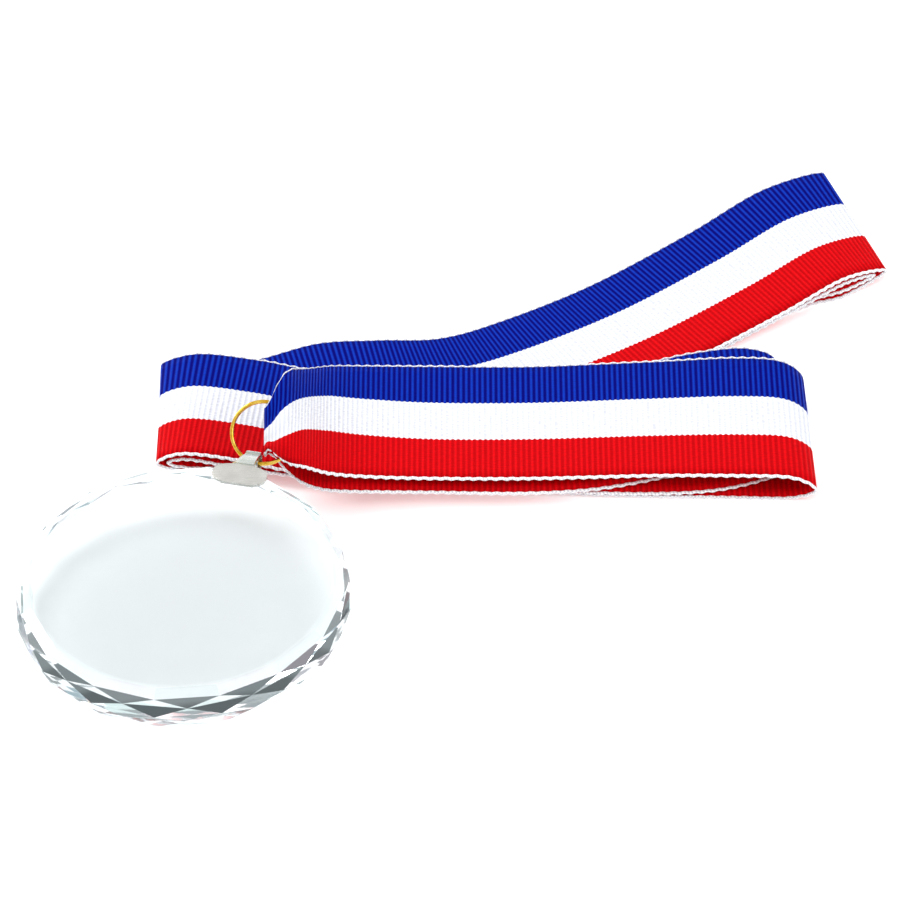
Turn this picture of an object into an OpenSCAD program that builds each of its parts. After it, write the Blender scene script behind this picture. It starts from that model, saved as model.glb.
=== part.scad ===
// Crystal finisher medal: a faceted glass disc with a glued sheet-metal bail,
// a split ring and a three-stripe neck ribbon folded up beside it.
// Millimetres, +Z up. The origin is the point of the table under the disc's
// middle; +X runs along the folded ribbon, +Y away from the disc. The disc
// leans on its near edge, because its bail end lies up on the folded ribbon.

/* [Crystal disc] */
// diameter over the corners of the girdle
disc_d = 60; // [40:1:90]
// thickness from back face to front face
disc_t = 8.5; // [6:0.5:14]
// corners of the girdle
disc_sides = 16; // [12:1:24]
// direction of the bail seen from the disc centre, degrees from +X
bail_angle = 71; // [45:1:110]
// corner radius of the flat front and back faces
face_r = 27.1; // [24:0.1:29]
// corner radius at the foot of the narrow bevel round each face
bevel_r = 28.95; // [25:0.05:29.5]
// depth of the narrow bevel below each face
bevel_z = 0.9; // [0.3:0.1:1.5]
// radius of the facet corners half-way between bevel and girdle
mid_r = 29.4; // [28:0.1:29.6]
// lean of the disc up from the table at the bail, degrees
disc_lean = 5.3; // [0:0.1:8]

/* [Bail] */
// thickness of the sheet metal
strap_t = 0.5; // [0.3:0.1:0.8]
// width of the leaf
leaf_w = 10; // [6:0.5:14]
// length of the leaf along the strap
leaf_l = 4.7; // [3:0.1:7]
// distance of the leaf's inner edge from the disc centre
leaf_in = 24.4; // [20:0.1:26]
// width of the strap where it leaves the leaf
neck_w = 4; // [3:0.2:6]
// turn of the bail about its eye, from being glued by hand, degrees
bail_skew = 5.5; // [-8:0.5:8]
// width of the strap round the eye
eye_w = 2.6; // [2:0.2:4]
// inner radius of the eye
eye_r = 1.5; // [1.2:0.1:2.4]
// distance of the eye from the disc centre
eye_dist = 35.1; // [34:0.1:44]
// thickness of the adhesive under the leaf
glue_t = 0.15; // [0.05:0.05:0.3]

/* [Split ring] */
// outside diameter
ring_d = 12; // [10:0.5:16]
// radial thickness of the wire
wire_r = 0.65; // [0.5:0.05:1]
// axial thickness of one coil
wire_a = 0.6; // [0.4:0.05:1]
// lean of the ring back from the table, degrees
ring_lean = 45; // [30:1:70]

/* [Ribbon] */
// woven width
ribbon_w = 30; // [20:1:40]
// woven thickness
ribbon_t = 0.45; // [0.3:0.05:0.7]
// sections of the sweep between two neighbouring stations
sweep_steps = 4; // [2:1:8]
// strips across the width
sweep_cols = 6; // [2:2:8]
// length of the sewn overlap that closes the loop
seam_l = 8; // [5:1:20]
// stitches in each row of the seam
seam_count = 9; // [5:1:15]

/* [Hidden] */
girdle_r = disc_d / 2;
mid_z = disc_t / 2;
side_step = 360 / disc_sides;
ring_mid = ring_d / 2 - wire_r / 2;
// edge of the back face that the disc leans on
rest_r = face_r * cos(side_step / 2);
eye_out = eye_dist * cos(disc_lean);
eye_x = eye_out * cos(bail_angle);
eye_y = eye_out * sin(bail_angle);
eye_z = (rest_r + eye_dist) * sin(disc_lean) + mid_z * cos(disc_lean);
ring_x = eye_x + ring_mid * cos(bail_angle);
ring_y = eye_y + ring_mid * sin(bail_angle) * cos(ring_lean);
ring_z = eye_z + ring_mid * sin(bail_angle) * sin(ring_lean);
// the bail's curl stops short of its strap by this turn, degrees
curl_gap = 35;
coils = 2;
thread_w = 0.5;
seam_inset = 1.5;
table_gap = 0.02;

// One row per station of the ribbon's middle line, all round the loop:
// [x, y, z, yaw of the width, lean of the width, arch, chord width].
// Yaw is degrees from +X, lean lifts the far edge, the arch lifts the middle.
path = [
  // through the ring and along the top run, upper layer
  [13.6, 37.0, 13.9, 90, 45, 0, 8.5],
  [14.5, 36.0, 16.1, 90, 44, 0, 8.7],
  [17.0, 37.2, 17.2, 90, 28, 1.5, 17],
  [20.2, 40.0, 14.8, 90, 9, 2, 24],
  [25.2, 44.5, 10.7, 90, 6, 1.5, 28],
  [32, 47.3, 8.1, 90, 6, 0.8, 29],
  [44, 48.9, 6.6, 90, 5, 0, 30],
  [62, 49.5, 6.1, 90, 5, 0, 30],
  [84, 50.0, 6.6, 90, 6, 0, 30],
  [100, 49.8, 7.2, 90, 8, 0, 30],
  [109, 49.4, 6.8, 91, 7, 0, 30],
  // right fold, outer layer
  [113, 49.0, 3.6, 92, 4, 0, 30],
  [109, 49.3, 0.5, 91, 0, 0, 30],
  // middle run, lower layer
  [100, 49.6, 0.3, 90, 0, 0, 30],
  [80, 50.0, 1.1, 90, 2.5, 0, 30],
  [62, 50.8, 1.5, 89, 3, 0, 30],
  [42, 52.0, 1.9, 88, 2, 0, 30],
  [22, 53.4, 2.2, 86, 1, 0, 30],
  [10, 54.9, 2.9, 83, 0, 0, 30],
  [0, 56.2, 3.9, 86, 0, 0, 30],
  // left fold, inner layer
  [-4.8, 56.2, 2.9, 91, 0, 0, 30],
  [0, 56.9, 1.2, 98, 0, 0, 30],
  // bottom run, upper layer
  [13, 59.7, 1.0, 103, 0, 0, 30],
  [25, 65.0, 1.0, 102, 0, 0, 30],
  [36, 66.0, 1.0, 101, 0, 0, 30],
  [49.5, 67.0, 1.0, 108, 0, 0, 30],
  [63, 73.0, 1.0, 117, 0, 0, 30],
  [82, 85.0, 1.2, 124, 0, 0, 30],
  [101, 98.6, 3.0, 124, 1.5, 0, 30],
  [114.8, 109.2, 4.7, 119, 3, 0, 30.5],
  // far fold, outer layer
  [125.2, 115.7, 2.9, 110, 4, 0, 31],
  [116.4, 109.3, 0.3, 112, 0, 0, 30.5],
  // tucked end, lower layer, the loop's closing fold, upper layer
  [110.2, 106.6, 0.3, 115, 0, 0, 30],
  [105.2, 103.8, 0.3, 116, 0, 0, 30],
  [101.6, 101.8, 0.9, 116, 0, 0, 30],
  [105.2, 103.8, 1.5, 116, 0, 0, 30],
  [110.2, 106.6, 1.5, 115, 0, 0, 30],
  [116.4, 109.5, 1.5, 112, 0, 0, 30.5],
  // far fold, inner layer
  [123.0, 114.2, 3.0, 110, 4, 0, 31],
  [114.8, 109.0, 3.7, 119, 3, 0, 30.5],
  // bottom run, lower layer
  [101, 98.6, 2.3, 124, 1.5, 0, 30],
  [82, 85.0, 0.5, 124, 0, 0, 30],
  [63, 73.0, 0.3, 117, 0, 0, 30],
  [49.5, 67.0, 0.3, 108, 0, 0, 30],
  [36, 66.0, 0.3, 101, 0, 0, 30],
  [25, 65.0, 0.3, 102, 0, 0, 30],
  [13, 59.7, 0.3, 103, 0, 0, 30],
  [1, 56.9, 0.3, 98, 0, 0, 30],
  // left fold, outer layer
  [-6.6, 55.8, 2.9, 91, 0, 0, 30],
  [-1, 55.8, 5.5, 86, 0, 0, 30],
  // middle run, upper layer
  [10, 55.5, 4.2, 84, 0, 0, 30],
  [22, 53.4, 3.0, 86, 1, 0, 30],
  [42, 51.8, 2.7, 88, 2, 0, 30],
  [62, 50.4, 2.25, 89, 3, 0, 30],
  [80, 49.6, 1.85, 90, 2.5, 0, 30],
  [94, 50.4, 1.25, 92, 0, 0, 30],
  [104, 54.0, 1.2, 94, 0, 0, 30],
  // right fold, inner layer
  [108.6, 57.2, 2.5, 94, 3, 0, 30],
  [103, 58.0, 3.9, 94, 5, 0, 30],
  // top run, lower layer, back to the ring
  [94, 56.4, 3.9, 98, 5, 0, 30],
  [84, 53.0, 3.6, 101, 5, 0, 30],
  [72, 49.4, 3.4, 95, 4, 0, 30],
  [60, 48.0, 3.6, 90, 4, 0, 30],
  [44, 47.8, 4.0, 90, 4, 0, 30],
  [32, 46.5, 5.2, 90, 4, 0, 30],
  [25.1, 43.9, 7.0, 90, 7, 0, 27],
  [19.7, 40.4, 9.7, 90, 18, 0, 18.6],
  [15.1, 38.9, 12.2, 90, 38, 0, 8.6],
];
count = len(path);

// stations at which the folds begin, in order round the loop
at_top = 3;
at_right = 10;
at_left = 19;
at_far = 29;
at_end = 33;
at_far_in = 37;
at_left_out = 47;
at_right_in = 56;

// sub-part to draw, or all of them

// ---------- crystal disc ----------

// ring of corners at one height; half turns it by half a side
function corners(r, z, half) = [for (i = [0 : disc_sides - 1])
  let (a = bail_angle + side_step * (i + (half ? 0 : 0.5)))
  [r * cos(a), r * sin(a), z]];

function flat_band(lo, hi) = [for (i = [0 : disc_sides - 1])
  let (j = (i + 1) % disc_sides)
  [hi + i, hi + j, lo + j, lo + i]];

// zigzag of triangles between a plain row and a half-turned row; the corner
// of the half-turned row with the same index lies before the plain corner
function zigzag_up(plain, turned) = [for (i = [0 : disc_sides - 1])
  let (j = (i + 1) % disc_sides)
  each [[plain + i, turned + i, turned + j], [plain + i, turned + j, plain + j]]];

function zigzag_down(plain, turned) = [for (f = zigzag_up(plain, turned))
  [f[0], f[2], f[1]]];

// the lean of the whole medal, with the disc's middle kept over the origin
module leaned() {
  translate([0, 0, rest_r * sin(disc_lean) + mid_z * cos(disc_lean)])
    rotate([0, 0, bail_angle])
      rotate([0, -disc_lean, 0])
        rotate([0, 0, -bail_angle])
          translate([0, 0, -mid_z]) children();
}

module crystal_disc() {
  n = disc_sides;
  rows = [
    [face_r, 0, false], [bevel_r, bevel_z, false],
    [mid_r, (bevel_z + mid_z) / 2, true], [girdle_r, mid_z, false],
    [mid_r, disc_t - (bevel_z + mid_z) / 2, true],
    [bevel_r, disc_t - bevel_z, false], [face_r, disc_t, false]];
  color("lightcyan") leaned()
    polyhedron(
      points = [for (r = rows) each corners(r[0], r[1], r[2])],
      faces = concat(
        [[for (i = [0 : n - 1]) i]],
        flat_band(0, n),
        zigzag_up(n, 2 * n),
        zigzag_down(3 * n, 2 * n),
        zigzag_up(3 * n, 4 * n),
        zigzag_down(5 * n, 4 * n),
        flat_band(5 * n, 6 * n),
        [[for (i = [0 : n - 1]) 7 * n - 1 - i]]));
}

// ---------- bail ----------

// draws in the bail's own frame, +X along the strap from the disc's middle,
// and turns it about the eye to where it's glued
module along_strap() {
  rotate([0, 0, bail_angle])
    translate([eye_dist, 0, 0])
      rotate([0, 0, bail_skew])
        translate([-eye_dist, 0, 0]) children();
}

// moves a profile drawn in (radius, height) upright, with the given width
module across(w) {
  rotate([90, 0, 0])
    translate([0, 0, -w / 2])
      linear_extrude(w) children();
}

// one half of the leaf's outline, from its inner edge to the neck
leaf_side = [[0, leaf_w * 0.33], [leaf_l * 0.3, leaf_w * 0.46], [leaf_l * 0.5, leaf_w / 2],
  [leaf_l * 0.75, leaf_w * 0.44], [leaf_l, neck_w / 2]];

// wide pad that lies on the front face, on its film of adhesive
module leaf() {
  translate([leaf_in, 0, disc_t + glue_t])
    linear_extrude(strap_t)
      polygon(concat(leaf_side,
        [for (i = [len(leaf_side) - 1 : -1 : 0]) [leaf_side[i][0], -leaf_side[i][1]]]));
}

// strap from the leaf's outer end down to the top of the eye, tapering
module neck() {
  neck_in = leaf_in + leaf_l - strap_t;
  low = disc_t + glue_t;
  top = mid_z + eye_r;
  intersection() {
    across(neck_w)
      polygon([[neck_in, low], [neck_in, low + strap_t], [neck_in + strap_t, low + strap_t],
        [eye_dist, top + strap_t], [eye_dist, top], [neck_in + strap_t, low]]);
    linear_extrude(disc_t + 5)
      polygon([
        [neck_in, -neck_w / 2], [eye_dist + 1, -eye_w / 2],
        [eye_dist + 1, eye_w / 2], [neck_in, neck_w / 2]]);
  }
}

// the strap's end curled round into an eye, nearly closed under the neck
module curl() {
  far = 2 * (eye_r + strap_t);
  across(eye_w)
    translate([eye_dist, mid_z])
      difference() {
        circle(r = eye_r + strap_t, $fn = 48);
        circle(r = eye_r, $fn = 48);
        polygon([[0, 0], [0, far], [-far * sin(curl_gap), far * cos(curl_gap)]]);
      }
}

module bail() {
  color("silver") leaned() along_strap() {
    leaf();
    neck();
    curl();
  }
}

// adhesive film between the leaf and the flat of the front face
module adhesive_film() {
  film_l = rest_r - leaf_in - 0.5;
  color("gainsboro") leaned() along_strap()
    translate([leaf_in + 0.2, -leaf_w * 0.3, disc_t])
      cube([film_l, leaf_w * 0.6, glue_t]);
}

// ---------- split ring ----------

module split_ring() {
  color("gold")
    translate([ring_x, ring_y, ring_z])
      rotate([ring_lean, 0, 0])
        difference() {
          cylinder(r = ring_d / 2, h = coils * wire_a, center = true, $fn = 96);
          cylinder(r = ring_d / 2 - wire_r, h = 2 * coils * wire_a, center = true, $fn = 96);
          // grooves that part the two coils
          for (r = [ring_d / 2, ring_d / 2 - wire_r])
            rotate_extrude($fn = 96)
              translate([r, 0]) rotate(45) square(0.14, center = true);
        }
}

// ---------- ribbon ----------

function row(i) = path[(i % count + count) % count];

// Catmull-Rom value of the path at station i plus fraction f
function smooth(a, b, c, d, f) =
  b + 0.5 * f * (c - a + f * (2 * a - 5 * b + 4 * c - d + f * (3 * (b - c) + d - a)));

function station(t) = let (i = floor(t), f = t - i)
  smooth(row(i - 1), row(i), row(i + 1), row(i + 2), f);

function unit(v) = v / norm(v);

// the lowest layer rests on the table
function lift(p) = [p[0], p[1], max(p[2], ribbon_t / 2 + table_gap)];

// point on the ribbon's middle sheet at station t, v from -1 near to 1 far
function cloth_at(t, v) = let (s = station(t),
    d = [cos(s[3]) * cos(s[4]), sin(s[3]) * cos(s[4]), sin(s[4])],
    up = [-cos(s[3]) * sin(s[4]), -sin(s[3]) * sin(s[4]), cos(s[4])])
  lift([s[0], s[1], s[2]] + d * v * s[6] / 2 + up * s[5] * (1 - v * v));

function face_normal(t, v) =
  unit(cross(cloth_at(t + 0.02, v) - cloth_at(t - 0.02, v),
    cloth_at(t, v + 0.05) - cloth_at(t, v - 0.05)));

// closed sweep of the ribbon between two stations
module ribbon(t0, t1) {
  n = max(1, round((t1 - t0) * sweep_steps));
  m = sweep_cols;
  ts = [for (i = [0 : n]) t0 + (t1 - t0) * i / n];
  vs = [for (j = [0 : m]) -1 + 2 * j / m];
  top = [for (t = ts) each [for (v = vs) cloth_at(t, v) + face_normal(t, v) * ribbon_t / 2]];
  low = [for (t = ts) each [for (v = vs) cloth_at(t, v) - face_normal(t, v) * ribbon_t / 2]];
  k = m + 1;
  h = (n + 1) * k;
  polyhedron(
    points = concat(top, low),
    faces = concat(
      [for (i = [0 : n - 1]) each [for (j = [0 : m - 1])
        let (p = i * k + j) each [[p, p + 1, p + k + 1], [p, p + k + 1, p + k]]]],
      [for (i = [0 : n - 1]) each [for (j = [0 : m - 1])
        let (p = h + i * k + j) each [[p, p + k + 1, p + 1], [p, p + k, p + k + 1]]]],
      [for (i = [0 : n - 1]) let (p = i * k, q = p + m)
        each [[p, p + k, h + p + k], [p, h + p + k, h + p],
          [q, h + q + k, q + k], [q, h + q, h + q + k]]],
      [for (j = [0 : m - 1]) let (q = n * k + j)
        each [[j, h + j, h + j + 1], [j, h + j + 1, j + 1],
          [q, q + 1, h + q + 1], [q, h + q + 1, h + q]]]));
}

blue = "mediumblue";
red = "crimson";
white = "white";

module ribbon_gather() color(blue) ribbon(-1, at_top);
module ribbon_top_upper() color(red) ribbon(at_top, at_right);
module ribbon_fold_right_outer() color(blue) ribbon(at_right, at_right + 2);
module ribbon_middle_lower() color(white) ribbon(at_right + 2, at_left);
module ribbon_fold_left_inner() color(blue) ribbon(at_left, at_left + 2);
module ribbon_bottom_upper() color(red) ribbon(at_left + 2, at_far);
module ribbon_fold_far_outer() color(blue) ribbon(at_far, at_far + 2);
module ribbon_tuck_lower() color(white) ribbon(at_far + 2, at_end);
module ribbon_loop_end() color(blue) ribbon(at_end, at_end + 2);
module ribbon_tuck_upper() color(white) ribbon(at_end + 2, at_far_in);
module ribbon_fold_far_inner() color(blue) ribbon(at_far_in, at_far_in + 2);
module ribbon_bottom_lower() color(red) ribbon(at_far_in + 2, at_left_out);
module ribbon_fold_left_outer() color(blue) ribbon(at_left_out, at_left_out + 2);
module ribbon_middle_upper() color(white) ribbon(at_left_out + 2, at_right_in);
module ribbon_fold_right_inner() color(blue) ribbon(at_right_in, at_right_in + 2);
module ribbon_top_lower() color(red) ribbon(at_right_in + 2, count - 1);

// the sewn overlap lies on the tucked end's lower layer
seam_x = 109.7;
seam_y = 106.4;
seam_z = 0.3 + ribbon_t / 2;
seam_yaw = 115;

module on_seam() {
  translate([seam_x, seam_y, seam_z]) rotate([0, 0, seam_yaw]) children();
}

module seam_overlap() {
  color(white)
    on_seam() translate([-ribbon_w / 2 + 0.5, -seam_l / 2, 0.02])
      cube([ribbon_w - 1, seam_l, 0.3]);
}

module seam_stitches() {
  pitch = (ribbon_w - 2 * seam_inset) / seam_count;
  color(red)
    on_seam() for (s = [-1, 1], i = [0 : seam_count - 1])
      translate([-ribbon_w / 2 + seam_inset + pitch * (i + 0.1),
          s * (seam_l / 2 - seam_inset) - thread_w / 2, 0.32])
        cube([pitch * 0.8, thread_w, 0.15]);
}

crystal_disc();
bail();
adhesive_film();
split_ring();
ribbon_gather();
ribbon_top_upper();
ribbon_fold_right_outer();
ribbon_middle_lower();
ribbon_fold_left_inner();
ribbon_bottom_upper();
ribbon_fold_far_outer();
ribbon_tuck_lower();
ribbon_loop_end();
ribbon_tuck_upper();
ribbon_fold_far_inner();
ribbon_bottom_lower();
ribbon_fold_left_outer();
ribbon_middle_upper();
ribbon_fold_right_inner();
ribbon_top_lower();
seam_overlap();
seam_stitches();
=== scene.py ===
import bpy
import bmesh
import math
from mathutils import Matrix, Vector


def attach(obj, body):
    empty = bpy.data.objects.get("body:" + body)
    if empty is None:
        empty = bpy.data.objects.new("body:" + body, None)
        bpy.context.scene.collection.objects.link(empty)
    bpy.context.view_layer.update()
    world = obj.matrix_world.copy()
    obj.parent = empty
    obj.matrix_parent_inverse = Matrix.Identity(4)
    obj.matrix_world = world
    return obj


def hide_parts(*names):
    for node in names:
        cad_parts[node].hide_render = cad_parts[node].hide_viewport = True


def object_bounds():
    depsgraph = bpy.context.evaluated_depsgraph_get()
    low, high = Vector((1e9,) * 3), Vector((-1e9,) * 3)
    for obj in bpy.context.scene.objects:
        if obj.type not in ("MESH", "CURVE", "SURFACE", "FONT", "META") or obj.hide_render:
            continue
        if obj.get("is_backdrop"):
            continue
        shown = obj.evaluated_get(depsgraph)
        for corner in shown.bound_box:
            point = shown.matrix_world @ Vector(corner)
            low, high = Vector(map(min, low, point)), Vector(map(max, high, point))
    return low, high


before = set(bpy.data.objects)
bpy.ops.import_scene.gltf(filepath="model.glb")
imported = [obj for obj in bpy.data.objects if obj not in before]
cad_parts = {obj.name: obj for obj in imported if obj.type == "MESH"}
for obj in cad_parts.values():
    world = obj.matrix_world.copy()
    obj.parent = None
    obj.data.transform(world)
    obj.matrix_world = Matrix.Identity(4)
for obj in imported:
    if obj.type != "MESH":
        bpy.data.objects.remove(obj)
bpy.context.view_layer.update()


# ---------------------------------------------------------------------------
# Camera: a long lens a metre away, looking down at the table by about 39
# degrees, as for a small prize laid out for a catalogue.

mm = 0.001
look_at = Vector((47.0, 48.9, 0.0)) * mm
look_down = math.radians(38.85)
camera_away = 1.0

bpy.ops.object.select_all(action="DESELECT")
bpy.ops.object.camera_add(
    location=look_at + camera_away * Vector((0, -math.cos(look_down), math.sin(look_down))),
    rotation=(math.pi / 2 - look_down, 0, 0),
)
camera = bpy.context.object
camera.data.lens = 217.2
camera.data.sensor_width = 36
camera.data.clip_end = 100
bpy.context.scene.camera = camera


# ---------------------------------------------------------------------------
# Studio: a white table top under a white tent, lit by two softboxes. Grey
# and teal cards stand round the tent's foot, for the cut glass to reflect.

def colour(hex_code):
    """Linear red, green, blue and 1 from an sRGB hex code."""
    parts = [int(hex_code[i : i + 2], 16) / 255 for i in (1, 3, 5)]
    return [c / 12.92 if c <= 0.04045 else ((c + 0.055) / 1.055) ** 2.4 for c in parts] + [1]


def add(tree, kind, values=None, links=None, **settings):
    """Adds one node, sets its settings and values, and links its inputs."""
    made = tree.nodes.new(kind)
    for name, value in settings.items():
        setattr(made, name, value)
    for name, value in (values or {}).items():
        made.inputs[name].default_value = value
    for name, socket in (links or {}).items():
        tree.links.new(socket, made.inputs[name])
    return made


def add_ramp(tree, factor, stops, interpolation="LINEAR"):
    """Adds a colour ramp with the given (place, colour) stops."""
    made = add(tree, "ShaderNodeValToRGB", links={0: factor})
    ramp = made.color_ramp
    ramp.interpolation = interpolation
    while len(ramp.elements) < len(stops):
        ramp.elements.new(0.5)
    for element, (place, shade) in zip(ramp.elements, stops):
        element.position = place
        element.color = shade
    return made.outputs["Color"]


def new_material(name):
    """A new material and its main shader."""
    made = bpy.data.materials.new(name)
    made.use_nodes = True
    return made, made.node_tree.nodes["Principled BSDF"]


scene = bpy.context.scene
scene.view_settings.view_transform = "Standard"
scene.view_settings.look = "None"

tent = bpy.data.worlds.new("white_tent")
scene.world = tent
tent.use_nodes = True
sky = tent.node_tree
sky.nodes.clear()
way = add(sky, "ShaderNodeTexCoord")
split = add(sky, "ShaderNodeSeparateXYZ", links={0: way.outputs["Generated"]})
around = add(
    sky, "ShaderNodeMath", links={0: split.outputs["Y"], 1: split.outputs["X"]}, operation="ARCTAN2"
)
turns = add(
    sky, "ShaderNodeMath", {1: 0.5 / math.pi, 2: 0.5}, {0: around.outputs[0]},
    operation="MULTIPLY_ADD",
)
card = [0.20, 0.23, 0.24, 1]
teal = [0.03, 0.16, 0.22, 1]
open_white = [1, 1, 1, 1]
black = [0, 0, 0, 1]
mist = [0.66, 0.80, 0.78, 1]
cards = add_ramp(
    sky,
    turns.outputs[0],
    [
        (0.00, mist), (0.04, card), (0.10, open_white), (0.17, teal), (0.21, open_white),
        (0.30, card), (0.36, mist), (0.45, open_white), (0.52, card), (0.57, open_white),
        (0.66, teal), (0.71, mist), (0.80, card), (0.85, open_white), (0.93, mist),
    ],
    "CONSTANT",
)
# the cards fade out on the way up the tent
height = add_ramp(sky, split.outputs["Z"], [(0.0, black), (0.42, black), (0.5, open_white)])
tent_shade = add(sky, "ShaderNodeMix", links={0: height, 6: cards}, data_type="RGBA")
tent_shade.inputs[7].default_value = open_white
# the camera itself sees plain white, without the cards
seen = add(sky, "ShaderNodeLightPath")
shown = add(
    sky,
    "ShaderNodeMix",
    {7: open_white},
    {0: seen.outputs["Is Camera Ray"], 6: tent_shade.outputs[2]},
    data_type="RGBA",
)
glow = add(sky, "ShaderNodeBackground", {"Strength": 0.95}, {"Color": shown.outputs[2]})
add(sky, "ShaderNodeOutputWorld", links={"Surface": glow.outputs[0]})

bpy.ops.object.select_all(action="DESELECT")
table_wide = 6
table_drop = 0.1
bpy.ops.mesh.primitive_plane_add(size=table_wide, location=(0, 0, -table_drop * mm))
table = bpy.context.object
table.name = "table_top"
table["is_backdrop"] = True
# White paper: matt, with a faint glow of its own that lifts it to pure white.
paper, paper_shader = new_material("white_paper_sweep")
paper_shader.inputs["Base Color"].default_value = colour("#FBFBFB")
paper_shader.inputs["Roughness"].default_value = 0.9
paper_shader.inputs["Emission Color"].default_value = open_white
paper_shader.inputs["Emission Strength"].default_value = 0.3
table.data.materials.append(paper)


def softbox(name, place, aim, size, power):
    """Adds a square soft light that faces a point."""
    bpy.ops.object.light_add(type="AREA", location=place)
    lamp = bpy.context.object
    lamp.name = name
    lamp.data.size = size
    lamp.data.energy = power
    lamp.rotation_euler = (Vector(place) - Vector(aim)).to_track_quat("Z", "Y").to_euler()


softbox("key_softbox", (-0.55, 0.35, 0.75), look_at, 0.45, 5.0)
softbox("fill_softbox", (0.7, -0.3, 0.6), look_at, 0.5, 2.0)


# ---------------------------------------------------------------------------
# Crystal disc: a blank of optical glass, ground flat on both faces, cut all
# round the rim into bevels and triangular facets, and polished clear.

# Optical crystal, polished: mirror smooth but for faint waves, about 4.5 mm
# apart, that the polishing lap leaves. It is tinted a little greyer than real
# crystal, so that a clear disc shows on the bright table.
crystal_glass, glass = new_material("optical_crystal_polished")
tree = crystal_glass.node_tree
glass.inputs["Base Color"].default_value = colour("#E9EDEE")
glass.inputs["Transmission Weight"].default_value = 1.0
glass.inputs["IOR"].default_value = 1.52
place = add(tree, "ShaderNodeTexCoord")
lap_marks = add(
    tree, "ShaderNodeTexNoise", {"Scale": 220, "Detail": 3.0}, {"Vector": place.outputs["Object"]}
)
polish = add(
    tree, "ShaderNodeMapRange", {"To Min": 0.0, "To Max": 0.03}, {"Value": lap_marks.outputs[0]}
)
tree.links.new(polish.outputs[0], glass.inputs["Roughness"])
wave = add(
    tree, "ShaderNodeBump", {"Strength": 0.02, "Distance": 0.0002},
    {"Height": lap_marks.outputs[0]},
)
tree.links.new(wave.outputs[0], glass.inputs["Normal"])
# a faint painted glow lifts the rim's facets, which render darker than real ones, and paints on each a
# reflection colour picked by the way it faces
facet_mix = (2.3, 3.1, 1.7)
facet_span = 3.0
glow_starts = 26.2
glow_full = 27.4
glow_strength = 0.28
facing = add(tree, "ShaderNodeNewGeometry")
spread = add(
    tree, "ShaderNodeVectorMath", {1: facet_mix}, {0: facing.outputs["True Normal"]},
    operation="DOT_PRODUCT",
)
share = add(
    tree, "ShaderNodeMath", {1: facet_span}, {0: spread.outputs["Value"]}, operation="PINGPONG",
)
# painted reflection colours for the rim's facets, one for each way a facet faces
facet_painted_reflection = add_ramp(
    tree, share.outputs[0],
    [
        (0.0, colour("#5E93AA")), (0.05, colour("#C4DCDA")), (0.12, colour("#A2AEB2")),
        (0.19, colour("#D8DEDF")), (0.26, colour("#84AEC2")), (0.34, colour("#CBBCC8")),
        (0.5, colour("#BFD3D2")), (0.75, colour("#AAB6BA")),
    ],
    "CONSTANT",
)
tree.links.new(facet_painted_reflection, glass.inputs["Emission Color"])
apart = add(
    tree, "ShaderNodeVectorMath", {1: (1, 1, 0)}, {0: place.outputs["Object"]}, operation="MULTIPLY"
)
from_middle = add(tree, "ShaderNodeVectorMath", links={0: apart.outputs[0]}, operation="LENGTH")
rim_glow = add(
    tree, "ShaderNodeMapRange",
    {"From Min": glow_starts * mm, "From Max": glow_full * mm, "To Min": 0.0, "To Max": glow_strength},
    {"Value": from_middle.outputs["Value"]},
)
tree.links.new(rim_glow.outputs[0], glass.inputs["Emission Strength"])
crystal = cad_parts["crystal_disc"]
crystal.data.materials.clear()
crystal.data.materials.append(crystal_glass)


# ---------------------------------------------------------------------------
# Adhesive: a thin film of clear cured acrylic between the front face and the
# pad of the bail.

# Cured acrylic adhesive: clear with a milky cast and fine bubbles trapped about
# 0.4 mm apart.
adhesive, film = new_material("cured_acrylic_adhesive")
tree = adhesive.node_tree
film.inputs["Transmission Weight"].default_value = 0.7
film.inputs["IOR"].default_value = 1.49
place = add(tree, "ShaderNodeTexCoord")
bubbles = add(
    tree, "ShaderNodeTexVoronoi", {"Scale": 2500}, {"Vector": place.outputs["Object"]}
)
film_shade = add_ramp(
    tree, bubbles.outputs[0], [(0.1, colour("#C9CCC8")), (0.4, colour("#EDEFEA"))],
)
tree.links.new(film_shade, film.inputs["Base Color"])
film_rough = add(
    tree, "ShaderNodeMapRange", {"To Min": 0.35, "To Max": 0.12}, {"Value": bubbles.outputs[0]}
)
tree.links.new(film_rough.outputs[0], film.inputs["Roughness"])
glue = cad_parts["adhesive_film"]
glue.data.materials.clear()
glue.data.materials.append(adhesive)


# ---------------------------------------------------------------------------
# Bail: one strap of plated sheet steel. Its wide pad is glued a little askew
# on the flat of the front face, and its narrow end is curled into an eye.

bail_turn = math.radians(71)
bail_skew = math.radians(5.5)
disc_lean = math.radians(5.3)
disc_thick = 8.5
disc_rest = 27.1 * math.cos(math.radians(11.25))
strap_thick = 0.5
strap_edge = 0.12
eye_radius = 1.5
eye_away = 35.1
pad_in = 24.4
glue_film = 0.15

# the strap's middle line seen from the side, as (radius, height, width): the
# pad from its inner edge, the neck down to the eye, and the curl
pad_high = disc_thick + glue_film + strap_thick / 2
turn_radius = eye_radius + strap_thick / 2
eye_height = disc_thick / 2
pad_wide = 10.0
pad_long = 4.85
pad_steps = 30
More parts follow.
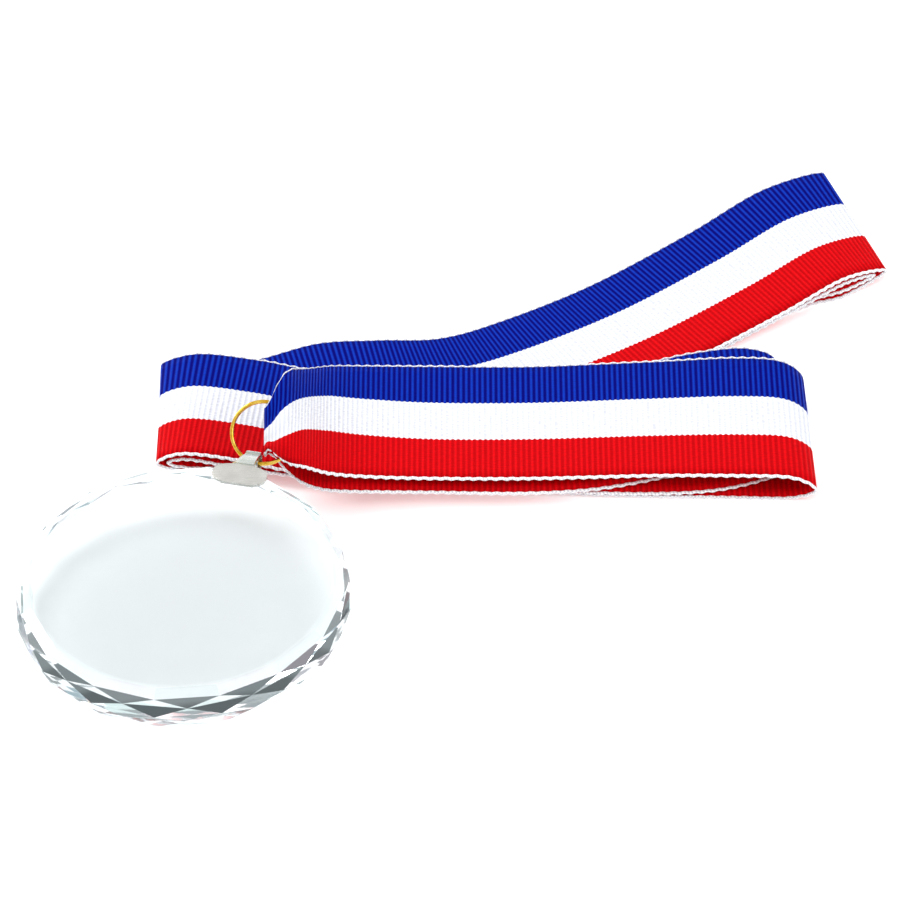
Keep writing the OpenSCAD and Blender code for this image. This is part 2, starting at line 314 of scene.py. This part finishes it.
# the pad's outline would close this far beyond its ends, which leaves them blunt
pad_blunt = 0.15
pad = []
for k in range(pad_steps + 1):
    run = pad_long * 0.5 * (1 - math.cos(math.pi * k / pad_steps))
    off = abs(run - pad_long / 2) / (pad_long / 2 + pad_blunt)
    pad.append((pad_in + run, pad_high, pad_wide * math.sqrt(1 - off**3)))
neck = [
    (29.4, 8.83, 4.0), (29.8, 8.68, 3.8), (30.6, 8.3, 3.5), (31.8, 7.74, 3.2),
    (33.0, 7.15, 2.95), (34.0, 6.6, 2.75), (34.6, 6.2, 2.65),
]
steps_round = 40
eye_wide = 2.6
curl_turn = math.radians(325)
curl = [
    (
        eye_away + turn_radius * math.sin(curl_turn * k / steps_round),
        eye_height + turn_radius * math.cos(curl_turn * k / steps_round),
        eye_wide,
    )
    for k in range(steps_round + 1)
]
strip = pad + neck + curl

# a bar as wide as the inner edge is drawn out step by step along the line
bpy.ops.object.select_all(action="DESELECT")
bpy.ops.mesh.primitive_plane_add(size=1, location=(0, 0, 0))
bail = bpy.context.object
bail.name = "bail_strap"
bpy.ops.object.mode_set(mode="EDIT")
bpy.ops.mesh.select_all(action="SELECT")
bpy.ops.mesh.delete(type="ONLY_FACE")
work = bmesh.from_edit_mesh(bail.data)
for vert in [v for v in work.verts if v.co.x > 0]:
    work.verts.remove(vert)
bmesh.update_edit_mesh(bail.data)
bpy.ops.mesh.select_all(action="SELECT")
bpy.ops.transform.resize(value=(1, strip[0][2] * mm, 1), center_override=(0, 0, 0))
bpy.ops.transform.translate(value=(0.5 + strip[0][0] * mm, 0, strip[0][1] * mm))
for (r0, z0, w0), (r1, z1, w1) in zip(strip, strip[1:]):
    bpy.ops.mesh.extrude_region_move(
        TRANSFORM_OT_translate={"value": ((r1 - r0) * mm, 0, (z1 - z0) * mm)}
    )
    bpy.ops.transform.resize(value=(1, w1 / w0, 1), center_override=(r1 * mm, 0, z1 * mm))
bpy.ops.mesh.select_all(action="SELECT")
bpy.ops.mesh.subdivide(number_cuts=3)
bpy.ops.mesh.normals_make_consistent(inside=False)
bpy.ops.object.mode_set(mode="OBJECT")
solid = bail.modifiers.new("sheet", "SOLIDIFY")
solid.thickness = strap_thick * mm
solid.offset = 0
edge_round = bail.modifiers.new("edges", "BEVEL")
edge_round.width = strap_edge * mm
edge_round.segments = 3
edge_round.limit_method = "ANGLE"
edge_round.angle_limit = math.radians(50)
bpy.context.view_layer.objects.active = bail
for made in ("sheet", "edges"):
    bpy.ops.object.modifier_apply(modifier=made)
# turned about the eye as it was glued, then leaned with the disc
bail.data.transform(Matrix.Translation((-eye_away * mm, 0, -eye_height * mm)))
bail.data.transform(Matrix.Rotation(bail_skew, 4, "Z"))
bail.data.transform(Matrix.Translation((eye_away * mm, 0, 0)))
bail.data.transform(Matrix.Rotation(-disc_lean, 4, "Y"))
lift = disc_rest * math.sin(disc_lean) + eye_height * math.cos(disc_lean)
bail.data.transform(Matrix.Translation((0, 0, lift * mm)))
bail.data.transform(Matrix.Rotation(bail_turn, 4, "Z"))
bpy.ops.object.shade_smooth_by_angle(angle=math.radians(35))

# Nickel-chrome plating over tumbled steel: a warm pale mirror dulled by fine
# burnishing lines along the strap. The lines are about 7 mm long and 0.3 mm
# apart, coarser than real ones so that they show.
plated, plate = new_material("nickel_chrome_plate_burnished")
tree = plated.node_tree
plate.inputs["Metallic"].default_value = 1.0
place = add(tree, "ShaderNodeTexCoord")
along_strap = add(
    tree,
    "ShaderNodeMapping",
    {"Rotation": (0, 0, -bail_turn - bail_skew), "Scale": (150, 3000, 800)},
    {"Vector": place.outputs["Object"]},
)
lines = add(
    tree, "ShaderNodeTexNoise", {"Scale": 1.0, "Detail": 4.0}, {"Vector": along_strap.outputs[0]},
)
clouds = add(
    tree, "ShaderNodeTexNoise", {"Scale": 260, "Detail": 2.0},
    {"Vector": place.outputs["Object"]},
)
plate_shade = add_ramp(
    tree, clouds.outputs[0], [(0.3, colour("#C6C4BE")), (0.7, colour("#DEDDD8"))],
)
tree.links.new(plate_shade, plate.inputs["Base Color"])
plate_rough = add(
    tree, "ShaderNodeMapRange", {"To Min": 0.16, "To Max": 0.36}, {"Value": lines.outputs[0]},
)
tree.links.new(plate_rough.outputs[0], plate.inputs["Roughness"])
burnish = add(
    tree, "ShaderNodeBump", {"Strength": 0.12, "Distance": 0.00002}, {"Height": lines.outputs[0]},
)
tree.links.new(burnish.outputs[0], plate.inputs["Normal"])
bail.data.materials.append(plated)
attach(bail, "medal")
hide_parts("bail")


# ---------------------------------------------------------------------------
# Split ring: spring steel wire wound twice round and plated gold. Its flat
# coils lie against each other, and a short step carries one to the other.

ring_centre = (13.226, 36.84, 13.723)
ring_outside = 6.0
wire_in = 0.65
wire_high = 0.6
# the wire is a little flatter than that, so that a line shows between the coils
wire_tall = 0.582
flat_push = 1.04
ring_lean = math.radians(45)
coil_end = math.radians(38)
step_turn = math.radians(24)

bpy.ops.object.select_all(action="DESELECT")
bpy.ops.mesh.primitive_circle_add(
    vertices=16, radius=0.5, fill_type="NOTHING", rotation=(math.pi / 2, 0, 0), enter_editmode=False
)
split_ring = bpy.context.object
split_ring.name = "ring_coils"
bpy.ops.object.transform_apply(location=True, rotation=True, scale=True)
bpy.ops.object.mode_set(mode="EDIT")
bpy.ops.mesh.select_all(action="SELECT")
bpy.ops.transform.resize(value=(wire_in * mm, 1, wire_tall * mm))
wire_middle = Vector(((ring_outside - wire_in / 2) * mm, 0, -wire_high / 2 * mm))
bpy.ops.transform.translate(value=wire_middle)
work = bmesh.from_edit_mesh(split_ring.data)
for vert in work.verts:
    # rolled flats on the wire
    off = vert.co - wire_middle
    off.x = math.copysign(min(abs(off.x) * flat_push, wire_in / 2 * mm), off.x)
    off.z = math.copysign(min(abs(off.z) * flat_push, wire_tall / 2 * mm), off.z)
    vert.co = off + wire_middle
bmesh.update_edit_mesh(split_ring.data)
full = 2 * math.pi
coil_cuts = 90
step_cuts = 8
coil_stop = step_turn * 1.4
for turn, rise, cuts in (
    [(full - step_turn, 0, coil_cuts)]
    + [(step_turn / step_cuts, wire_high / step_cuts, 1)] * step_cuts
    + [(full - coil_stop, 0, coil_cuts)]
):
    bpy.ops.mesh.spin(
        steps=cuts, angle=turn, center=(0, 0, 0), axis=(0, 0, 1), dupli=False, use_auto_merge=False
    )
    bpy.ops.transform.translate(value=(0, 0, rise * mm))
bpy.ops.mesh.select_all(action="DESELECT")
bpy.ops.mesh.select_non_manifold()
bpy.ops.mesh.edge_face_add()
bpy.ops.mesh.select_all(action="SELECT")
bpy.ops.mesh.normals_make_consistent(inside=False)
bpy.ops.object.mode_set(mode="OBJECT")
split_ring.rotation_euler = (0, 0, coil_end)
bpy.ops.object.transform_apply(location=True, rotation=True, scale=True)
split_ring.rotation_euler = (ring_lean, 0, 0)
split_ring.location = Vector(ring_centre) * mm
bpy.ops.object.transform_apply(location=True, rotation=True, scale=True)
bpy.ops.object.shade_smooth_by_angle(angle=math.radians(40))

# Bright gold plating: polished, with faint rubs where the coils slide, drawn
# about a millimetre apart so that they show.
gold, gilt = new_material("gold_plate_polished")
tree = gold.node_tree
gilt.inputs["Metallic"].default_value = 1.0
place = add(tree, "ShaderNodeTexCoord")
rubs = add(
    tree, "ShaderNodeTexNoise", {"Scale": 900, "Detail": 4.0},
    {"Vector": place.outputs["Object"]},
)
gilt_shade = add_ramp(tree, rubs.outputs[0], [(0.3, colour("#CE9A22")), (0.7, colour("#F4D062"))])
# height off the plane in which the two coils meet, where the gold is painted dark brown as painted
# shade and dirt in the groove between the coils
groove_shade_full = 0.04
groove_shade_ends = 0.22
from_ring = add(
    tree, "ShaderNodeVectorMath", {1: [c * mm for c in ring_centre]}, {0: place.outputs["Object"]},
    operation="SUBTRACT",
)
off_plane = add(
    tree, "ShaderNodeVectorMath", {1: (0, -math.sin(ring_lean), math.cos(ring_lean))},
    {0: from_ring.outputs[0]}, operation="DOT_PRODUCT",
)
off_flat = add(
    tree, "ShaderNodeMath", links={0: off_plane.outputs["Value"]}, operation="ABSOLUTE"
)
groove_shade_fade = add(
    tree, "ShaderNodeMapRange", {"From Min": groove_shade_full * mm, "From Max": groove_shade_ends * mm},
    {"Value": off_flat.outputs[0]},
)
# dark brown mixed into the gold along the groove: painted shade and dirt between the coils
gilt_with_groove_shade = add(
    tree, "ShaderNodeMix", links={0: groove_shade_fade.outputs[0], 7: gilt_shade}, data_type="RGBA"
)
gilt_with_groove_shade.inputs[6].default_value = colour("#4A2E06")
tree.links.new(gilt_with_groove_shade.outputs[2], gilt.inputs["Base Color"])
gilt_rough = add(
    tree, "ShaderNodeMapRange", {"To Min": 0.08, "To Max": 0.24}, {"Value": rubs.outputs[0]},
)
tree.links.new(gilt_rough.outputs[0], gilt.inputs["Roughness"])
gilt_bump = add(
    tree, "ShaderNodeBump", {"Strength": 0.15, "Distance": 0.00002}, {"Height": rubs.outputs[0]},
)
tree.links.new(gilt_bump.outputs[0], gilt.inputs["Normal"])
split_ring.data.materials.append(gold)
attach(split_ring, "ring")
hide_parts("split_ring")


# ---------------------------------------------------------------------------
# Neck ribbon: one closed loop of 30 mm grosgrain woven in three stripes, its
# thick weft ribs lying across the length and a looped picot on both edges.
# The loop is pulled through the split ring and lies in folds on the table.

ribbon_wide = 30.0
ribbon_thick = 0.45
rib_pitch = 1.0

# [x, y, z, yaw of the width, lean of the width, arch, chord width] in mm and
# degrees, from the ring, round the loop and back to the ring
route = [
    [13.6, 37.0, 13.9, 90, 45, 0, 8.5],
    [14.5, 36.0, 16.1, 90, 44, 0, 8.7],
    [17.0, 37.2, 17.2, 90, 28, 1.5, 17],
    [20.2, 40.0, 14.8, 90, 9, 2, 24],
    [25.2, 44.5, 10.7, 90, 6, 1.5, 28],
    [32, 47.3, 8.1, 90, 6, 0.8, 29],
    [44, 48.9, 6.6, 90, 5, 0, 30],
    [62, 49.5, 6.1, 90, 5, 0, 30],
    [84, 50.0, 6.6, 90, 6, 0, 30],
    [100, 49.8, 7.2, 90, 8, 0, 30],
    [109, 49.4, 6.8, 91, 7, 0, 30],
    [113, 49.0, 3.6, 92, 4, 0, 30],
    [109, 49.3, 0.5, 91, 0, 0, 30],
    [100, 49.6, 0.3, 90, 0, 0, 30],
    [80, 50.0, 1.1, 90, 2.5, 0, 30],
    [62, 50.8, 1.5, 89, 3, 0, 30],
    [42, 52.0, 1.9, 88, 2, 0, 30],
    [22, 53.4, 2.2, 86, 1, 0, 30],
    [10, 54.9, 2.9, 83, 0, 0, 30],
    [0, 56.2, 3.9, 86, 0, 0, 30],
    [-4.8, 56.2, 2.9, 91, 0, 0, 30],
    [0, 56.9, 1.2, 98, 0, 0, 30],
    [13, 59.7, 1.0, 103, 0, 0, 30],
    [25, 65.0, 1.0, 102, 0, 0, 30],
    [36, 66.0, 1.0, 101, 0, 0, 30],
    [49.5, 67.0, 1.0, 108, 0, 0, 30],
    [63, 73.0, 1.0, 117, 0, 0, 30],
    [82, 85.0, 1.2, 124, 0, 0, 30],
    [101, 98.6, 3.0, 124, 1.5, 0, 30],
    [114.8, 109.2, 4.7, 119, 3, 0, 30.5],
    [125.2, 115.7, 2.9, 110, 4, 0, 31],
    [116.4, 109.3, 0.3, 112, 0, 0, 30.5],
    [110.2, 106.6, 0.3, 115, 0, 0, 30],
    [105.2, 103.8, 0.3, 116, 0, 0, 30],
    [101.6, 101.8, 0.9, 116, 0, 0, 30],
    [105.2, 103.8, 1.5, 116, 0, 0, 30],
    [110.2, 106.6, 1.5, 115, 0, 0, 30],
    [116.4, 109.5, 1.5, 112, 0, 0, 30.5],
    [123.0, 114.2, 3.0, 110, 4, 0, 31],
    [114.8, 109.0, 3.7, 119, 3, 0, 30.5],
    [101, 98.6, 2.3, 124, 1.5, 0, 30],
    [82, 85.0, 0.5, 124, 0, 0, 30],
    [63, 73.0, 0.3, 117, 0, 0, 30],
    [49.5, 67.0, 0.3, 108, 0, 0, 30],
    [36, 66.0, 0.3, 101, 0, 0, 30],
    [25, 65.0, 0.3, 102, 0, 0, 30],
    [13, 59.7, 0.3, 103, 0, 0, 30],
    [1, 56.9, 0.3, 98, 0, 0, 30],
    [-6.6, 55.8, 2.9, 91, 0, 0, 30],
    [-1, 55.8, 5.5, 86, 0, 0, 30],
    [10, 55.5, 4.2, 84, 0, 0, 30],
    [22, 53.4, 3.0, 86, 1, 0, 30],
    [42, 51.8, 2.7, 88, 2, 0, 30],
    [62, 50.4, 2.25, 89, 3, 0, 30],
    [80, 49.6, 1.85, 90, 2.5, 0, 30],
    [94, 50.4, 1.25, 92, 0, 0, 30],
    [104, 54.0, 1.2, 94, 0, 0, 30],
    [108.6, 57.2, 2.5, 94, 3, 0, 30],
    [103, 58.0, 3.9, 94, 5, 0, 30],
    [94, 56.4, 3.9, 98, 5, 0, 30],
    [84, 53.0, 3.6, 101, 5, 0, 30],
    [72, 49.4, 3.4, 95, 4, 0, 30],
    [60, 48.0, 3.6, 90, 4, 0, 30],
    [44, 47.8, 4.0, 90, 4, 0, 30],
    [32, 46.5, 5.2, 90, 4, 0, 30],
    [25.1, 43.9, 7.0, 90, 7, 0, 27],
    [19.7, 40.4, 9.7, 90, 18, 0, 18.6],
    [15.1, 38.9, 12.2, 90, 38, 0, 8.6],
]
turns_round = len(route)

# where the ribbon is narrower than gather_from it is bunched: its middle moves
# to one side, and small pleats rise across it
gather_from = 28
gather_shift = 0.4
gather_rush = 1.6
gather_pleat = 0.35
pleat_turns = 9
pleat_start = 0.6
table_clear = 0.02


def station(t):
    """The smoothed row of the route at station t, which wraps round the loop."""
    i = math.floor(t)
    f = t - i
    a, b, c, d = (route[(i + k) % turns_round] for k in (-1, 0, 1, 2))
    return [
        q + 0.5 * f * (r - p + f * (2 * p - 5 * q + 4 * r - s + f * (3 * (q - r) + s - p)))
        for p, q, r, s in zip(a, b, c, d)
    ]


def cloth(t, v):
    """Point in mm on the ribbon's middle sheet, v from -1 at the red edge to 1."""
    x, y, z, yaw, lean, arch, wide = station(t)
    yaw, lean = math.radians(yaw), math.radians(lean)
    gathered = max(0.0, 1 - wide / gather_from)
    s = v - gather_shift * min(1, gathered * gather_rush) * (1 - v * v)
    side = Vector(
        (math.cos(yaw) * math.cos(lean), math.sin(yaw) * math.cos(lean), math.sin(lean))
    )
    up = Vector(
        (-math.cos(yaw) * math.sin(lean), -math.sin(yaw) * math.sin(lean), math.cos(lean))
    )
    pleat = gather_pleat * gathered * math.sin(pleat_turns * v + pleat_start)
    bump = arch * (1 - v * v) + pleat
    p = Vector((x, y, z)) + side * (s * wide / 2) + up * bump
    p.z = max(p.z, ribbon_thick / 2 + table_clear)
    return p


short_along = 0.01
short_over = 0.02


def cloth_normal(t, v):
    """Unit normal of the middle sheet, from short steps along and across it."""
    along = cloth(t + short_along, v) - cloth(t - short_along, v)
    over = cloth(t, v + short_over) - cloth(t, v - short_over)
    return along.cross(over).normalized()


# the length run up to each of many fine steps round the loop
fine_steps = 40
fine = [i / fine_steps for i in range(fine_steps * turns_round + 1)]
reach = [0.0]
for t0, t1 in zip(fine, fine[1:]):
    reach.append(reach[-1] + (cloth(t1, 0) - cloth(t0, 0)).length)
loop_length = reach[-1]
rib_count = round(loop_length / rib_pitch)


def even_stations(count):
    """Stations that part the loop into count equal lengths."""
    out, k = [], 0
    for i in range(count):
        want = loop_length * i / count
        while reach[k + 1] < want:
            k += 1
        part = (want - reach[k]) / (reach[k + 1] - reach[k])
        out.append(fine[k] + part * (fine[k + 1] - fine[k]))
    return out


def ring_of_sections(name, sections, uvs, uv_name):
    """Closed mesh through equal sections round a loop, with its own UV map."""
    count, size = len(sections), len(sections[0])
    mesh = bpy.data.meshes.new(name)
    verts = [p * mm for row in sections for p in row]
    faces, corners = [], []
    for i in range(count):
        j = (i + 1) % count
        for k in range(size):
            m = (k + 1) % size
            faces.append([i * size + k, i * size + m, j * size + m, j * size + k])
            corners += [(i, k), (i, m), (i + 1, m), (i + 1, k)]
    mesh.from_pydata(verts, [], faces)
    layer = mesh.uv_layers.new(name=uv_name)
    for loop, (i, k) in zip(layer.data, corners):
        loop.uv = (i / count * loop_length * mm, uvs[k] * mm)
    piece = bpy.data.objects.new(name, mesh)
    scene.collection.objects.link(piece)
    bpy.ops.object.select_all(action="DESELECT")
    piece.select_set(True)
    bpy.context.view_layer.objects.active = piece
    bpy.ops.object.mode_set(mode="EDIT")
    bpy.ops.mesh.select_all(action="SELECT")
    bpy.ops.mesh.normals_make_consistent(inside=False)
    bpy.ops.object.mode_set(mode="OBJECT")
    bpy.ops.object.shade_smooth()
    return piece


# the woven cloth, two sections to a rib, stops just short of the picots
columns = 14
cloth_share = 0.97
sections = []
for t in even_stations(2 * rib_count):
    upper, lower = [], []
    for k in range(columns + 1):
        v = cloth_share * (-1 + 2 * k / columns)
        p, n = cloth(t, v), cloth_normal(t, v)
        upper.append(p + n * ribbon_thick / 2)
        lower.append(p - n * ribbon_thick / 2)
    sections.append(upper + lower[::-1])
across = [ribbon_wide * k / columns for k in range(columns + 1)]
ribbon = ring_of_sections("neck_ribbon", sections, across + across[::-1], "weave")

# picot edge: a plump white yarn that loops out over every second rib, and
# swells a little where it stands out
edge_high = 0.25
edge_inset = 0.25
edge_loop = 0.26
edge_slim = 0.86
edge_swell = 0.24
edge_inward = 0.9
sections_to_rib = 3
ribs_to_loop = 2
sides_round = 8
edges = []
edge_steps = even_stations(sections_to_rib * rib_count)
for name, side, edge_wide in (("picot_near", -1, 0.34), ("picot_far", 1, 0.2)):
    sections = []
    for i, t in enumerate(edge_steps):
        wave = math.sin(2 * math.pi * i / (sections_to_rib * ribs_to_loop)) * 0.5 + 0.5
        base = cloth(t, side)
        over = (base - cloth(t, side * edge_inward)).normalized()
        up = cloth_normal(t, side)
        core = base - over * (edge_inset - edge_loop * wave)
        row = []
        for k in range(sides_round):
            turn = 2 * math.pi * k / sides_round
            high = edge_high * (edge_slim + edge_swell * wave) * math.sin(turn)
            row.append(core + over * (edge_wide * math.cos(turn)) + up * high)
        sections.append(row)
    edges.append(
        ring_of_sections(name, sections, [k / sides_round for k in range(sides_round)], "yarn")
    )

# Dyed polyester grosgrain: warp threads pack over thick weft into ribs. Each stripe's colour is
# painted lighter along the rib crests as a painted highlight and darker in the grooves as painted
# shade.
# The stripes' borders step by stripe_step mm between a groove and a crest.
stripe_step = 0.22
red_ends = 0.337
blue_starts = 0.67
weave, cloth_shader = new_material("grosgrain_polyester_three_stripe")
tree = weave.node_tree
spot = add(tree, "ShaderNodeUVMap", uv_map="weave")
part = add(tree, "ShaderNodeSeparateXYZ", links={0: spot.outputs[0]})
rib_turn = add(
    tree, "ShaderNodeMath", {1: 2 * math.pi / (loop_length * mm / rib_count)},
    {0: part.outputs["X"]}, operation="MULTIPLY",
)
rib_wave = add(tree, "ShaderNodeMath", links={0: rib_turn.outputs[0]}, operation="SINE")
rib = add(
    tree, "ShaderNodeMath", {1: 0.5, 2: 0.5}, {0: rib_wave.outputs[0]}, operation="MULTIPLY_ADD",
)
step_out = add(
    tree, "ShaderNodeMath", {1: stripe_step * mm}, {0: rib.outputs[0]}, operation="MULTIPLY",
)
stripe_at = add(
    tree, "ShaderNodeMath", links={0: part.outputs["Y"], 1: step_out.outputs[0]}, operation="ADD"
)
stripe_part = add(
    tree, "ShaderNodeMath", {1: 1 / (ribbon_wide * mm)}, {0: stripe_at.outputs[0]},
    operation="MULTIPLY",
)
# the stripe colours darkened as painted shade, for the grooves
stripes_groove_shade = add_ramp(
    tree, stripe_part.outputs[0],
    [(0.0, colour("#C00008")), (red_ends, colour("#E2E4EE")), (blue_starts, colour("#000072"))],
    "CONSTANT",
)
# the stripe colours lightened as a painted highlight, for the crests
stripes_crest_highlight = add_ramp(
    tree, stripe_part.outputs[0],
    [(0.0, colour("#E4000C")), (red_ends, colour("#FBFBFD")), (blue_starts, colour("#0434B4"))],
    "CONSTANT",
)
# the painted highlight fills the crests and the painted shade the grooves
crest_highlight_share = add_ramp(tree, rib.outputs[0], [(0.25, black), (0.95, open_white)])
stripes_rib_lit = add(tree, "ShaderNodeMix", links={0: crest_highlight_share, 6: stripes_groove_shade, 7: stripes_crest_highlight}, data_type="RGBA")
# flecks of thread about 1.1 mm long and 0.3 mm wide
stretch = add(
    tree, "ShaderNodeMapping", {"Scale": (900, 3500, 1)}, {"Vector": spot.outputs[0]}
)
thread = add(
    tree, "ShaderNodeTexNoise", {"Scale": 1.0, "Detail": 2.0}, {"Vector": stretch.outputs[0]},
)
patchy = add(
    tree, "ShaderNodeMapRange", {"To Min": 0.66, "To Max": 1.26}, {"Value": thread.outputs[0]}
)
stripes_rib_lit_flecked = add(
    tree, "ShaderNodeMix", {0: 1.0}, {6: stripes_rib_lit.outputs[2], 7: patchy.outputs[0]},
    data_type="RGBA", blend_type="MULTIPLY",
)
tree.links.new(stripes_rib_lit_flecked.outputs[2], cloth_shader.inputs["Base Color"])
relief = add(
    tree, "ShaderNodeMath", {1: 0.12}, {0: thread.outputs[0], 2: rib.outputs[0]},
    operation="MULTIPLY_ADD",
)
ribs = add(
    tree, "ShaderNodeBump", {"Strength": 1.0, "Distance": 0.0001}, {"Height": relief.outputs[0]}
)
tree.links.new(ribs.outputs[0], cloth_shader.inputs["Normal"])
sheen_rough = add(
    tree, "ShaderNodeMapRange", {"To Min": 0.85, "To Max": 0.55}, {"Value": rib.outputs[0]}
)
tree.links.new(sheen_rough.outputs[0], cloth_shader.inputs["Roughness"])
cloth_shader.inputs["Specular IOR Level"].default_value = 0.06
ribbon.data.materials.append(weave)

# Bleached polyester yarn of the picot: white, matt, twisted.
yarn, yarn_shader = new_material("bleached_polyester_yarn")
tree = yarn.node_tree
spot = add(tree, "ShaderNodeUVMap", uv_map="yarn")
lay = add(tree, "ShaderNodeMapping", {"Scale": (1600, 900, 1)}, {"Vector": spot.outputs[0]})
twist = add(
    tree, "ShaderNodeTexWave", {"Scale": 0.6, "Distortion": 1.5}, {"Vector": lay.outputs[0]},
    bands_direction="DIAGONAL",
)
# white yarn painted darker along the twist's grooves, as painted shade
yarn_crease_shade = add_ramp(tree, twist.outputs[1], [(0.0, colour("#D9D6E0")), (0.7, colour("#FFFFFF"))])
tree.links.new(yarn_crease_shade, yarn_shader.inputs["Base Color"])
yarn_bump = add(
    tree, "ShaderNodeBump", {"Strength": 0.8, "Distance": 0.00008}, {"Height": twist.outputs[1]}
)
tree.links.new(yarn_bump.outputs[0], yarn_shader.inputs["Normal"])
yarn_shader.inputs["Roughness"].default_value = 0.7
for edge in edges:
    edge.data.materials.append(yarn)
    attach(edge, "ribbon")

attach(ribbon, "ribbon")
ribbon_nodes = sorted(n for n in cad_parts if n.startswith("ribbon_"))
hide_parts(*ribbon_nodes)


# ---------------------------------------------------------------------------
# Seam: the ribbon's two ends lap 8 mm inside the tucked fold and are sewn
# with two rows of red polyester stitches that sink into the weave.

tuck_high = 0.3
seam_place = (109.7, 106.4, tuck_high + ribbon_thick / 2)
seam_yaw = math.radians(115)
seam_long = 8.0
lap_wide = ribbon_wide - 1
lap_thick = 0.3
lap_lift = 0.02
lap_start = 0.05
stitch_count = 9
stitch_inset = 1.5
stitch_share = 0.8
stitch_wide = 0.5
stitch_high = 0.24
stitch_lift = 0.36

bpy.ops.object.select_all(action="DESELECT")
bpy.ops.mesh.primitive_grid_add(x_subdivisions=40, y_subdivisions=14, size=1)
lap = bpy.context.object
lap.name = "seam_lap"
lap.scale = (lap_wide * mm, seam_long * mm, 1)
bpy.ops.object.transform_apply(location=True, rotation=True, scale=True)
bpy.ops.object.mode_set(mode="EDIT")
bpy.ops.mesh.select_all(action="SELECT")
bpy.ops.mesh.extrude_region_move(TRANSFORM_OT_translate={"value": (0, 0, lap_thick * mm)})
bpy.ops.mesh.select_all(action="SELECT")
bpy.ops.mesh.normals_make_consistent(inside=False)
bpy.ops.object.mode_set(mode="OBJECT")
weave_map = lap.data.uv_layers[0]
weave_map.name = "weave"
for loop, corner in zip(weave_map.data, lap.data.loops):
    at = lap.data.vertices[corner.vertex_index].co
    loop.uv = (at.y + lap_start, at.x + ribbon_wide * mm / 2)
lap.rotation_euler = (0, 0, seam_yaw)
lap.location = (Vector(seam_place) + Vector((0, 0, lap_lift))) * mm
bpy.ops.object.transform_apply(location=True, rotation=True, scale=True)
lap.data.materials.append(weave)
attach(lap, "ribbon")
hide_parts("seam_overlap")

# Spun polyester thread: two plies twisted, soft and matt.
thread_red, spun = new_material("spun_polyester_thread_red")
tree = thread_red.node_tree
place = add(tree, "ShaderNodeTexCoord")
plies = add(
    tree, "ShaderNodeTexWave", {"Scale": 900, "Distortion": 2.0},
    {"Vector": place.outputs["Object"]},
    bands_direction="DIAGONAL",
)
# red thread painted darker along the grooves between the plies, as painted shade
ply_crease_shade = add_ramp(tree, plies.outputs[1], [(0.1, colour("#9C0A14")), (0.8, colour("#D9202A"))])
tree.links.new(ply_crease_shade, spun.inputs["Base Color"])
ply_bump = add(
    tree, "ShaderNodeBump", {"Strength": 0.6, "Distance": 0.00006}, {"Height": plies.outputs[1]},
)
tree.links.new(ply_bump.outputs[0], spun.inputs["Normal"])
spun.inputs["Roughness"].default_value = 0.75

stitch_pitch = (ribbon_wide - 2 * stitch_inset) / stitch_count
bpy.ops.object.select_all(action="DESELECT")
bpy.ops.mesh.primitive_uv_sphere_add(segments=12, ring_count=8, radius=0.5)
stitch = bpy.context.object
stitch.scale = (stitch_pitch * stitch_share * mm, stitch_wide * mm, stitch_high * mm)
bpy.ops.object.transform_apply(location=True, rotation=True, scale=True)
bpy.ops.object.shade_smooth()
stitches = [stitch]
for side in (-1, 1):
    for i in range(stitch_count):
        if side == -1 and i == 0:
            copy = stitch
        else:
            copy = stitch.copy()
            copy.data = stitch.data.copy()
            scene.collection.objects.link(copy)
            stitches.append(copy)
        along = -ribbon_wide / 2 + stitch_inset + stitch_pitch * (i + 0.5)
        aside = side * (seam_long / 2 - stitch_inset)
        turned = Vector((
            along * math.cos(seam_yaw) - aside * math.sin(seam_yaw),
            along * math.sin(seam_yaw) + aside * math.cos(seam_yaw),
            stitch_lift,
        ))
        copy.location = (Vector(seam_place) + turned) * mm
        copy.rotation_euler = (0, 0, seam_yaw)
bpy.ops.object.select_all(action="DESELECT")
for copy in stitches:
    copy.select_set(True)
bpy.context.view_layer.objects.active = stitch
bpy.ops.object.join()
stitch.name = "seam_stitch_rows"
bpy.ops.object.transform_apply(location=True, rotation=True, scale=True)
stitch.data.materials.append(thread_red)
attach(stitch, "ribbon")
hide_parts("seam_stitches")


# ---------------------------------------------------------------------------
# Sizes: the finished model's box.

low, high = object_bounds()
